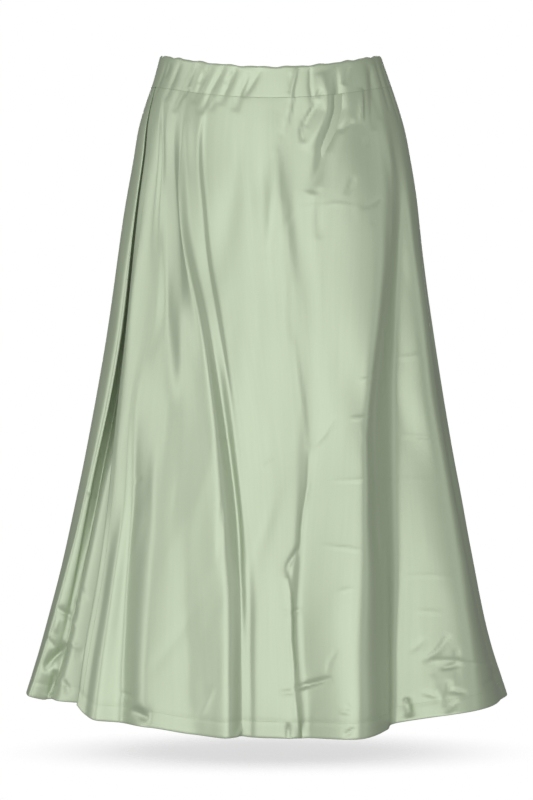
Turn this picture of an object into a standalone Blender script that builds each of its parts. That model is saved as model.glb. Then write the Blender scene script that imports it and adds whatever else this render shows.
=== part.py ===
"""Pull-on wrap midi skirt in satin, hollow and filled out as it is worn.

Metres, +Z up. The origin is the middle of the waist's opening, level with its side edges. The front faces -Y.
Angles go round the ring in degrees: 0 is the front's middle, 90 is +X, 180 is the back's middle.
Heights of folds are millimetres off the smooth form, outward positive.
"""
from collections import namedtuple

import bpy
import numpy as np

# ---- driving dimensions --------------------------------------------------------------------------------
CLOTH = 0.0012              # wall of one layer of satin
SEAM_GAP = 0.0003           # between pieces that are sewn together
CASING_HEIGHT = 0.037       # elastic casing, from the top edge to its row of stitches
CASING_THICKNESS = 0.0032   # two layers of satin with the elastic between them
CASING_ROUND = 0.0008       # its folded top edge is rounded by this much
FRONT_DIP = 0.021           # the top edge hangs lower at the front's middle than at the sides
BACK_DIP = 0.004
SIDE_SEAM = 94.0            # the side seams lie just behind the widest line
MM = 0.001

# The smooth form of the worn skirt on a general figure: a row for each section.
FORM_COLUMNS = ("below waist", "half width", "middle shift", "front depth", "back depth")
FORM = np.array([
    (0.000, 0.1326, 0.0000, 0.0970, 0.0950),
    (0.028, 0.1412, 0.0012, 0.0995, 0.1030),
    (0.052, 0.1494, 0.0012, 0.1020, 0.1120),
    (0.088, 0.1598, 0.0012, 0.1060, 0.1240),
    (0.124, 0.1662, 0.0018, 0.1100, 0.1340),
    (0.172, 0.1740, 0.0018, 0.1160, 0.1430),
    (0.232, 0.1822, 0.0006, 0.1230, 0.1490),
    (0.352, 0.1992, 0.0006, 0.1390, 0.1580),
    (0.472, 0.2194, 0.0000, 0.1540, 0.1680),
    (0.592, 0.2426, -0.0008, 0.1710, 0.1800),
    (0.712, 0.2706, -0.0026, 0.1890, 0.1940),
    (0.760, 0.2856, -0.0018, 0.1970, 0.2000),
    (0.800, 0.2976, -0.0018, 0.2020, 0.2050),
])

# Crests and troughs of each panel, in their order along the cloth. Angles and heights have a value at each of
# FOLD_STATIONS, the fraction of the way from the casing (0) to the hem (1). "hem" is how far the hem hangs
# below the waist there.
FOLD_STATIONS = (0.0, 0.1, 0.3, 0.5, 0.75, 1.0)
Fold = namedtuple("Fold", "name angles heights hem")
WRAP_FOLDS = [Fold(*row) for row in (
    ("free edge", (-74.1, -69.6, -63.9, -58.7, -52.2, -49.2), (0, 0, 1, 1, 2, 3), 0.7660),
    ("edge dent", (-71, -66.5, -60.7, -55.5, -48.9, -43.3), (0, 0, 0, -0.5, -1.5, -3), 0.7755),
    ("left crest", (-67, -63, -58.3, -51.7, -44.3, -38.5), (0, 0, 0.5, 3, 6, 8), 0.7810),
    ("left trough", (-62, -58, -53, -47.2, -39.4, -32.2), (0, 0, 0, -3, -6, -9), 0.7836),
    ("second crest", (-57, -54, -48.5, -40.9, -31.9, -25.5), (0, 1, 2, 4, 5, 6), 0.7855),
    ("soft trough", (-53, -49.5, -38.5, -32.6, -26.1, -21.7), (0, -2, -4, -4, -4, -3), 0.7920),
    ("broad crest", (-46, -42, -30.5, -22.3, -15.6, -11.6), (0, 1.5, 3, 4, 4, 5), 0.7950),
    ("main trough", (-40, -36, -27, -16.9, -8.8, -5.8), (0, 0, -3, -8, -11, -12), 0.7940),
    ("thin crest", (-37, -33, -24.2, -13.8, -6.4, -3.8), (0, 0, 1.5, 3, 4, 4), 0.7950),
    ("thin trough", (-34, -30.5, -21, -11.7, -4.3, -1.6), (0, 0, -0.5, -0.5, 0, 0), 0.7960),
    ("middle crest", (2.8, 4, 6.2, 8.9, 6.8, 8), (0, 0, 1, 2, 3, 3), 0.7972),
    ("middle trough", (8, 9, 11, 13.5, 11.5, 12.5), (0, 0, -0.5, -0.5, -0.5, -0.5), 0.7970),
    ("great crest", (38, 42, 43.5, 31.5, 24.8, 21.5), (0, 1, 2, 5, 10, 13), 0.7965),
    ("great lip", (46, 49, 47.5, 38.5, 33.8, 28.9), (0, -0.5, -2, -3, -5, -7), 0.7905),
    ("great trough", (54, 56, 52, 43, 36, 31), (0, -2.5, -7, -13, -22, -26), 0.7855),
    ("right crest", (66, 67, 66, 62.6, 57.8, 49.2), (0, 0.5, 2, 4, 7, 9), 0.7715),
    ("right trough", (80, 80, 80, 79, 78, 76), (0, 0, 0, -1, -3, -4), 0.7660),
    ("right seam", (SIDE_SEAM,) * 6, (0,) * 6, 0.7650),
)]
UNDER_FOLDS = [Fold(*row) for row in (
    ("left seam", (-SIDE_SEAM,) * 6, (0,) * 6, 0.7590),
    ("flap crest", (-84, -82, -78, -76, -74, -72), (-1.2, -1.2, 0, 3, 8, 12), 0.7605),
    ("flap lip", (-77, -72.6, -67, -63.6, -63, -61.3), (-2.2, -2.3, -2.5, -3, -5, -6), 0.7645),
    ("pit left wall", (-76.2, -71.9, -66.6, -66, -68.5, -67.5), (-2.3, -2.5, -4, -11, -17, -18), 0.7640),
    ("pit floor", (-75.4, -71.2, -66, -65.4, -67.6, -66.8), (-2.3, -2.7, -5.5, -18, -26, -27), 0.7635),
    ("pit right wall", (-74.4, -70.4, -65, -62.8, -64.4, -63.4), (-2.3, -2.8, -4.5, -11, -14, -14), 0.7630),
    ("strip crest", (-72, -68, -61.5, -56.6, -55.2, -54.6), (-2.3, -2.7, -3, -4, -3, -2.5), 0.7635),
    ("inner trough", (-64, -59, -55, -50, -44, -40), (-2.3, -4, -8, -14, -20, -24), 0.7660),
    ("inner crest", (-50, -46, -42, -37, -31, -27), (-2.3, -4.8, -9, -11, -14, -18), 0.7720),
    ("front trough", (-35, -33, -29, -25, -19, -15), (-2.3, -4.8, -10, -16, -21, -26), 0.7780),
    ("front crest", (-12, -12, -10, -8, -5, -3), (-2.3, -4.4, -9, -14, -18, -21), 0.7790),
    ("middle trough", (12, 12, 12, 12, 12, 12), (-2.3, -4.6, -10, -16, -22, -27), 0.7790),
    ("right trough", (40, 40, 39, 37, 33, 30), (-2.3, -5.4, -13, -21, -31, -36), 0.7770),
    ("inner free edge", (74.1, 69.6, 63.9, 58.7, 52.2, 49.2), (-2.3, -5.2, -12, -18, -25, -30), 0.7720),
)]
BACK_FOLDS = [Fold(*row) for row in (
    ("right seam", (SIDE_SEAM,) * 6, (0,) * 6, 0.7650),
    ("side trough", (104, 103, 103, 103, 103, 104), (0, 0, -1, -2, -4, -6), 0.7650),
    ("side crest", (115, 116, 117, 118, 118, 120), (0, 1, 2, 4, 7, 10), 0.7670),
    ("deep trough", (128, 130, 132, 134, 136, 137), (0, -1, -3, -7, -12, -15), 0.7710),
    ("second crest", (144, 146, 148, 149, 151, 153), (0, 1, 2, 4, 6, 8), 0.7730),
    ("soft trough", (160, 160, 161, 162, 165, 167), (0, -1, -2, -4, -7, -9), 0.7760),
    ("middle crest", (176, 176, 177, 179, 181, 183), (0, 0.5, 1, 3, 6, 8), 0.7780),
    ("thin trough", (192, 192, 193, 194, 196, 197), (0, -1, -4, -9, -14, -17), 0.7760),
    ("third crest", (208, 207, 207, 208, 210, 212), (0, 1, 2, 4, 6, 9), 0.7730),
    ("last trough", (226, 226, 227, 228, 229, 230), (0, -1, -2, -5, -9, -11), 0.7670),
    ("last crest", (242, 243, 244, 245, 246, 247), (0, 0.5, 1, 3, 6, 8), 0.7610),
    ("left seam", (360 - SIDE_SEAM,) * 6, (0,) * 6, 0.7590),
)]

# Gathers of the elastic: each runs from one place to another, and runs out at both ends.
# Depths are metres below the waist, the half width and the height are millimetres.
Pucker = namedtuple("Pucker", "top_angle top bottom_angle bottom half_width height")
PUCKERS = [Pucker(*row) for row in (
    (-57, 0.008, -64, 0.060, 6, -1.0),
    (-48, 0.006, -55, 0.075, 6, -1.2),
    (-39, 0.004, -46, 0.065, 6, -1.2),
    (-30, 0.008, -38, 0.080, 6, -1.3),
    (-21, 0.010, -28, 0.070, 6, -1.1),
    (-12, 0.014, -18, 0.065, 6, -1.0),
    (0, 0.030, 3, 0.120, 7, -0.8),
    (11, 0.028, 6, 0.100, 6, -1.1),
    (21, 0.030, 15, 0.105, 6, -1.3),
    (35, 0.020, 17, 0.170, 9, -1.6),
    (44, 0.015, 38, 0.090, 6, -0.9),
    (57, 0.012, 53, 0.080, 8, -1.6),
    (70, 0.010, 70, 0.075, 7, -1.0),
    (83, 0.006, 80, 0.070, 7, -1.0),
)]
BACK_PUCKERS = 17           # the hidden side is gathered alike, at uneven places

# The mesh: columns are at most this many degrees apart, and rows are counted from casing to hem.
COLUMN_DEGREES = 4.6
PANEL_ROWS = 18
CASING_COLUMNS = 96
CASING_ROWS = 3

SATIN = (0.40, 0.515, 0.33)  # linear sage green
SATIN_ROUGHNESS = 0.38
SHARP_ANGLE = 50.0           # only the cut edges of the cloth are shaded sharp


# ---- curves --------------------------------------------------------------------------------------------
def hermite(knots, values, slopes, places):
    """Cubic through values at knots with the given slopes, read at places. The last axis is the knots'."""
    i = np.clip(np.searchsorted(knots, places, side="right") - 1, 0, len(knots) - 2)
    width = (knots[1:] - knots[:-1])[i]
    t = (places - knots[i]) / width
    a, b = values[..., i], values[..., i + 1]
    da, db = slopes[..., i] * width, slopes[..., i + 1] * width
    return (a * (2 * t**3 - 3 * t**2 + 1) + da * (t**3 - 2 * t**2 + t)
            + b * (3 * t**2 - 2 * t**3) + db * (t**3 - t**2))


def smooth_line(knots, values, places):
    """A smooth line through the values, as a long fold runs."""
    knots, values = np.asarray(knots, float), np.asarray(values, float)
    return hermite(knots, values, np.gradient(values, knots, axis=-1), places)


def rounded_wave(values, places):
    """A line through values at 0, 1, 2 and on, that is level at each crest and trough and never passes them."""
    values = np.asarray(values, float)
    steps = np.diff(values, axis=-1)
    before, after = steps[..., :-1], steps[..., 1:]
    same_way = before * after > 0
    total = np.where(same_way, before + after, 1.0)
    inner = np.where(same_way, 2 * before * after / total, 0.0)
    slopes = np.concatenate([steps[..., :1], inner, steps[..., -1:]], axis=-1)
    return hermite(np.arange(values.shape[-1]).astype(float), values, slopes, places)


def section(below, column):
    """One of the form's sizes at a depth below the waist."""
    return smooth_line(FORM[:, 0], FORM[:, FORM_COLUMNS.index(column)], below)


# ---- the form ------------------------------------------------------------------------------------------
def waist_dip(angle):
    """How far the top edge lies below its sides."""
    forward = np.cos(np.radians(angle))
    return np.where(forward > 0, FRONT_DIP, BACK_DIP) * forward**2


def all_puckers():
    """The gathers at the front, and as many uneven ones round the back."""
    spread = np.random.default_rng(7)
    places = np.linspace(SIDE_SEAM, 360 - SIDE_SEAM, BACK_PUCKERS) + spread.uniform(-2, 2, BACK_PUCKERS)
    hidden = [Pucker(place, spread.uniform(0.003, 0.012), place + spread.uniform(-6, 6), spread.uniform(0.06, 0.10),
                     6, -spread.uniform(0.8, 1.4)) for place in places]
    return PUCKERS + hidden


def pucker_height(angle, below):
    """Millimetres that the gathers move the cloth at this angle and depth. Each fades towards its two ends."""
    height = np.zeros(np.shape(angle))
    for pucker in all_puckers():
        along = np.clip((below - pucker.top) / (pucker.bottom - pucker.top), 0, 1)
        middle = pucker.top_angle + (pucker.bottom_angle - pucker.top_angle) * along
        aside = (angle - middle + 180) % 360 - 180
        across = np.radians(aside) * section(below, "half width") / (pucker.half_width * MM)
        height += pucker.height * np.exp(-across**2) * np.sqrt(np.sin(np.pi * along))
    return height


def ring_sizes(angle, below):
    """The ring's half width and depth, with the angle's sine and cosine."""
    sine, cosine = np.sin(np.radians(angle)), np.cos(np.radians(angle))
    depth = np.where(cosine > 0, section(below, "front depth"), section(below, "back depth"))
    return section(below, "half width"), depth, sine, cosine


def level_outward(angle, below):
    """The level direction that points straight out of the smooth form."""
    half_width, depth, sine, cosine = ring_sizes(angle, below)
    outward = np.stack([sine / half_width, -cosine / depth, np.zeros_like(sine)], axis=-1)
    return outward / np.linalg.norm(outward, axis=-1, keepdims=True)


def place_on_form(angle, below, height):
    """Points at an angle and depth, moved off the smooth form by height millimetres."""
    half_width, depth, sine, cosine = ring_sizes(angle, below)
    ring = np.stack([section(below, "middle shift") + half_width * sine, -depth * cosine, -below], axis=-1)
    return ring + level_outward(angle, below) * (height * MM)[..., None]


def form_normal(angle, below):
    """The smooth form's normal, which pieces that meet at a seam share."""
    flat = np.zeros_like(angle)
    outward = level_outward(angle, below)
    growth = ((place_on_form(angle, below + MM, flat) - place_on_form(angle, below, flat)) * outward).sum(-1) / MM
    normal = np.concatenate([outward[..., :2], growth[..., None]], axis=-1)
    return normal / np.linalg.norm(normal, axis=-1, keepdims=True)


def outward_normals(points):
    """Unit normals of a grid of points whose columns run round the ring."""
    normal = np.cross(np.gradient(points, axis=0), np.gradient(points, axis=1))
    return normal / np.linalg.norm(normal, axis=-1, keepdims=True)


# ---- solids --------------------------------------------------------------------------------------------
def satin(name):
    material = bpy.data.materials.new(name)
    material.use_nodes = True
    shader = material.node_tree.nodes["Principled BSDF"]
    shader.inputs["Base Color"].default_value = (*SATIN, 1.0)
    shader.inputs["Roughness"].default_value = SATIN_ROUGHNESS
    shader.inputs["Metallic"].default_value = 0.0
    return material


def closed_wall(name, outer, inner, ring=False):
    """A wall between two grids of points, closed along its borders, as one object."""
    rows, columns = outer.shape[:2]
    far = rows * columns
    number = np.arange(far).reshape(rows, columns)
    if ring:
        number = np.hstack([number, number[:, :1]])
    front = np.stack([number[:-1, :-1], number[1:, :-1], number[1:, 1:], number[:-1, 1:]], axis=-1).reshape(-1, 4)
    faces = [front, front[:, ::-1] + far]
    borders = [number[0, ::-1], number[-1]]
    if not ring:
        borders += [number[:, 0], number[::-1, -1]]
    for border in borders:
        start, end = border[:-1], border[1:]
        faces.append(np.stack([start, start + far, end + far, end], axis=-1))
    mesh = bpy.data.meshes.new(name)
    points = np.concatenate([outer.reshape(-1, 3), inner.reshape(-1, 3)])
    mesh.from_pydata(points.tolist(), [], np.concatenate(faces).tolist())
    mesh.materials.append(satin(name + "_satin"))
    mesh.shade_smooth()
    mesh.set_sharp_from_angle(angle=np.radians(SHARP_ANGLE))
    bpy.context.scene.collection.objects.link(bpy.data.objects.new(name, mesh))


def panel_columns(folds):
    """Places along a panel, 0 at its first fold and 1 at its second, with more of them where folds are far apart."""
    angles = np.array([fold.angles for fold in folds])
    gaps = np.abs(np.diff(angles, axis=0)).max(axis=1)
    places = [np.linspace(i, i + 1, max(2, round(gap / COLUMN_DEGREES)), endpoint=False)
              for i, gap in enumerate(gaps)]
    return np.append(np.concatenate(places), len(folds) - 1)


def make_panel(name, folds):
    """One panel of cloth, hung from the casing, with its folds. Its two side edges stand back by half a seam's gap."""
    columns = panel_columns(folds)
    down = np.linspace(0, 1, PANEL_ROWS + 1)
    angles = rounded_wave(smooth_line(FOLD_STATIONS, [fold.angles for fold in folds], down).T, columns)
    heights = rounded_wave(smooth_line(FOLD_STATIONS, [fold.heights for fold in folds], down).T, columns)
    hem = rounded_wave([fold.hem for fold in folds], columns)
    top = waist_dip(angles) + CASING_HEIGHT + SEAM_GAP
    below = top + (hem - top) * down[:, None]
    outer = place_on_form(angles, below, heights + pucker_height(angles, below))
    normals = outward_normals(outer)
    for edge, beside in ((0, 1), (-1, -2)):
        inward = outer[:, beside] - outer[:, edge]
        outer[:, edge] += inward / np.linalg.norm(inward, axis=-1, keepdims=True) * SEAM_GAP / 2
        normals[:, edge] = form_normal(angles, below)[:, edge]
    normals[0] = level_outward(angles, below)[0]
    closed_wall(name, outer, outer - normals * CLOTH)


def make_casing(name):
    """The ring of doubled cloth round the elastic, cut level below and with a rounded top edge."""
    angles, down = np.meshgrid(np.linspace(-180, 180, CASING_COLUMNS, endpoint=False),
                               np.linspace(0, 1, CASING_ROWS + 1))
    below = waist_dip(angles) + CASING_ROUND + (CASING_HEIGHT - CASING_ROUND) * down
    outward = level_outward(angles, below)
    outer = place_on_form(angles, below, pucker_height(angles, below))
    inner = outer - outward * CASING_THICKNESS
    crown = np.stack([outer[0] - outward[0] * CASING_ROUND, inner[0] + outward[0] * CASING_ROUND])
    crown[..., 2] += CASING_ROUND
    closed_wall(name, np.concatenate([crown[:1], outer]), np.concatenate([crown[1:], inner]), ring=True)


for old in list(bpy.data.objects):
    bpy.data.objects.remove(old, do_unlink=True)
make_casing("waist_casing")
make_panel("front_wrap_panel", WRAP_FOLDS)
make_panel("front_under_panel", UNDER_FOLDS)
make_panel("back_panel", BACK_FOLDS)
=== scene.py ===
"""A wrap midi skirt in sage green satin, hollow and filled out as it is worn, on a white floor.

Metres, +Z up. The origin is the middle of the waist's opening, and the front faces -Y. Angles go round the ring
in degrees: 0 is the front's middle, 90 is +X. Heights of folds are millimetres off the smooth form.
"""
from collections import namedtuple

import bpy
import numpy as np
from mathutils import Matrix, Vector


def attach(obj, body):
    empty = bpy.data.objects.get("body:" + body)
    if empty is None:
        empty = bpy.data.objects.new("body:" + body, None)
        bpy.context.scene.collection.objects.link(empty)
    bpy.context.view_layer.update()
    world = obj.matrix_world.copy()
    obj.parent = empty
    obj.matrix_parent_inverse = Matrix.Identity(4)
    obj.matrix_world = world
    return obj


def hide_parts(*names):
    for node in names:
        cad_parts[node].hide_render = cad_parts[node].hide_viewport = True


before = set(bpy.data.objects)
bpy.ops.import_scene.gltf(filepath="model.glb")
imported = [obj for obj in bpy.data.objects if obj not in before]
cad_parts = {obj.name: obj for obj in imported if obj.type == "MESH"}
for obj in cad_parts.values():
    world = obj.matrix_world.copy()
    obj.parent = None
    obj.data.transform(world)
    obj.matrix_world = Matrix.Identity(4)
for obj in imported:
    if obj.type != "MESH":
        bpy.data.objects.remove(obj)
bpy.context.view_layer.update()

# ==== waist casing =======================================================================================
# The top of the satin, turned over a wide elastic and held by one row of stitches. The elastic draws the cloth
# in, so short leaning gathers start here and run on into the panels below.
MM = 0.001
CLOTH = 0.0009               # one layer of satin, a little thick so that it is a solid wall
SEAM_GAP = 0.0001            # between the casing and the panels below, which meet flush
CASING_HEIGHT = 0.037
CASING_THICKNESS = 0.0030
FRONT_DIP = 0.021
BACK_DIP = 0.004
SIDE_SEAM = 94.0             # the side seams lie just behind the widest line
DRAW_SPREAD = 0.0018         # a row of stitches draws in the cloth this far above and below it

FORM_COLUMNS = ("below waist", "half width", "middle shift", "front depth", "back depth")
FORM = np.array([
    (0.000, 0.1326, 0.0000, 0.0970, 0.0950),
    (0.028, 0.1412, 0.0012, 0.0995, 0.1030),
    (0.052, 0.1494, 0.0012, 0.1020, 0.1120),
    (0.088, 0.1598, 0.0012, 0.1060, 0.1240),
    (0.124, 0.1662, 0.0018, 0.1100, 0.1340),
    (0.172, 0.1740, 0.0018, 0.1160, 0.1430),
    (0.232, 0.1822, 0.0006, 0.1230, 0.1490),
    (0.352, 0.1992, 0.0006, 0.1390, 0.1580),
    (0.472, 0.2194, 0.0000, 0.1540, 0.1680),
    (0.592, 0.2426, -0.0008, 0.1710, 0.1800),
    (0.712, 0.2706, -0.0026, 0.1890, 0.1940),
    (0.760, 0.2856, -0.0018, 0.1970, 0.2000),
    (0.800, 0.2976, -0.0018, 0.2020, 0.2050),
])


def hermite(knots, values, slopes, places):
    """Cubic through values at knots with the given slopes, read at places. The last axis is the knots'."""
    i = np.clip(np.searchsorted(knots, places, side="right") - 1, 0, len(knots) - 2)
    width = (knots[1:] - knots[:-1])[i]
    t = (places - knots[i]) / width
    a, b = values[..., i], values[..., i + 1]
    da, db = slopes[..., i] * width, slopes[..., i + 1] * width
    return (a * (2 * t**3 - 3 * t**2 + 1) + da * (t**3 - 2 * t**2 + t)
            + b * (3 * t**2 - 2 * t**3) + db * (t**3 - t**2))


def smooth_line(knots, values, places):
    """A smooth line through the values, as a long fold runs."""
    knots, values = np.asarray(knots, float), np.asarray(values, float)
    return hermite(knots, values, np.gradient(values, knots, axis=-1), places)


def rounded_wave(values, places):
    """A line through values at 0, 1, 2 and on, that is level at each crest and trough and never passes them."""
    values = np.asarray(values, float)
    steps = np.diff(values, axis=-1)
    before, after = steps[..., :-1], steps[..., 1:]
    same_way = before * after > 0
    total = np.where(same_way, before + after, 1.0)
    inner = np.where(same_way, 2 * before * after / total, 0.0)
    slopes = np.concatenate([steps[..., :1], inner, steps[..., -1:]], axis=-1)
    return hermite(np.arange(values.shape[-1]).astype(float), values, slopes, places)


def section(below, column):
    """One of the form's sizes at a depth below the waist."""
    return smooth_line(FORM[:, 0], FORM[:, FORM_COLUMNS.index(column)], below)


def waist_dip(angle):
    """How far the top edge lies below its sides."""
    forward = np.cos(np.radians(angle))
    return np.where(forward > 0, FRONT_DIP, BACK_DIP) * forward**2


def ring_sizes(angle, below):
    sine, cosine = np.sin(np.radians(angle)), np.cos(np.radians(angle))
    depth = np.where(cosine > 0, section(below, "front depth"), section(below, "back depth"))
    return section(below, "half width"), depth, sine, cosine


def level_outward(angle, below):
    """The level direction that points straight out of the smooth form."""
    half_width, depth, sine, cosine = ring_sizes(angle, below)
    outward = np.stack([sine / half_width, -cosine / depth, np.zeros_like(sine)], axis=-1)
    return outward / np.linalg.norm(outward, axis=-1, keepdims=True)


def place_on_form(angle, below, height):
    """Points at an angle and depth, moved off the smooth form by height millimetres."""
    half_width, depth, sine, cosine = ring_sizes(angle, below)
    ring = np.stack([section(below, "middle shift") + half_width * sine, -depth * cosine, -below], axis=-1)
    return ring + level_outward(angle, below) * (height * MM)[..., None]


def unit(vectors):
    return vectors / np.maximum(np.linalg.norm(vectors, axis=-1, keepdims=True), 1e-12)


# Gathers of the elastic at the front, each a soft trough from one place to another. Depths are metres below the
# waist, half width and height are millimetres. They run out at both ends.
Gather = namedtuple("Gather", "top_angle top bottom_angle bottom half_width height")
GATHERS = [Gather(*row) for row in (
    (-66, 0.006, -70, 0.060, 5, -0.8),
    (57, 0.012, 54, 0.080, 7, -1.2),
    (67, 0.004, 65, 0.070, 5, -0.9),
    (75, 0.010, 74, 0.085, 6, -1.1),
    (86, 0.006, 84, 0.070, 6, -0.9),
)]
HIDDEN_GATHERS = 26          # the back is gathered alike, at uneven places


def all_gathers():
    spread = np.random.default_rng(7)
    places = np.linspace(SIDE_SEAM, 360 - SIDE_SEAM, HIDDEN_GATHERS) + spread.uniform(-2.5, 2.5, HIDDEN_GATHERS)
    return GATHERS + [Gather(place, spread.uniform(0.000, 0.012), place + spread.uniform(-7, 7),
                             spread.uniform(0.05, 0.12), spread.uniform(3, 7), spread.uniform(-1.3, 0.8))
                      for place in places]


def gather_height(angle, below):
    """Millimetres that the gathers move the cloth at this angle and depth."""
    height = np.zeros(np.shape(angle))
    for gather in all_gathers():
        along = np.clip((below - gather.top) / (gather.bottom - gather.top), 0, 1)
        middle = gather.top_angle + (gather.bottom_angle - gather.top_angle) * along
        aside = (angle - middle + 180) % 360 - 180
        across = np.radians(aside) * section(below, "half width") / (gather.half_width * MM)
        height += gather.height * np.exp(-across**2) * np.sqrt(np.sin(np.pi * along))
    return height


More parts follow.
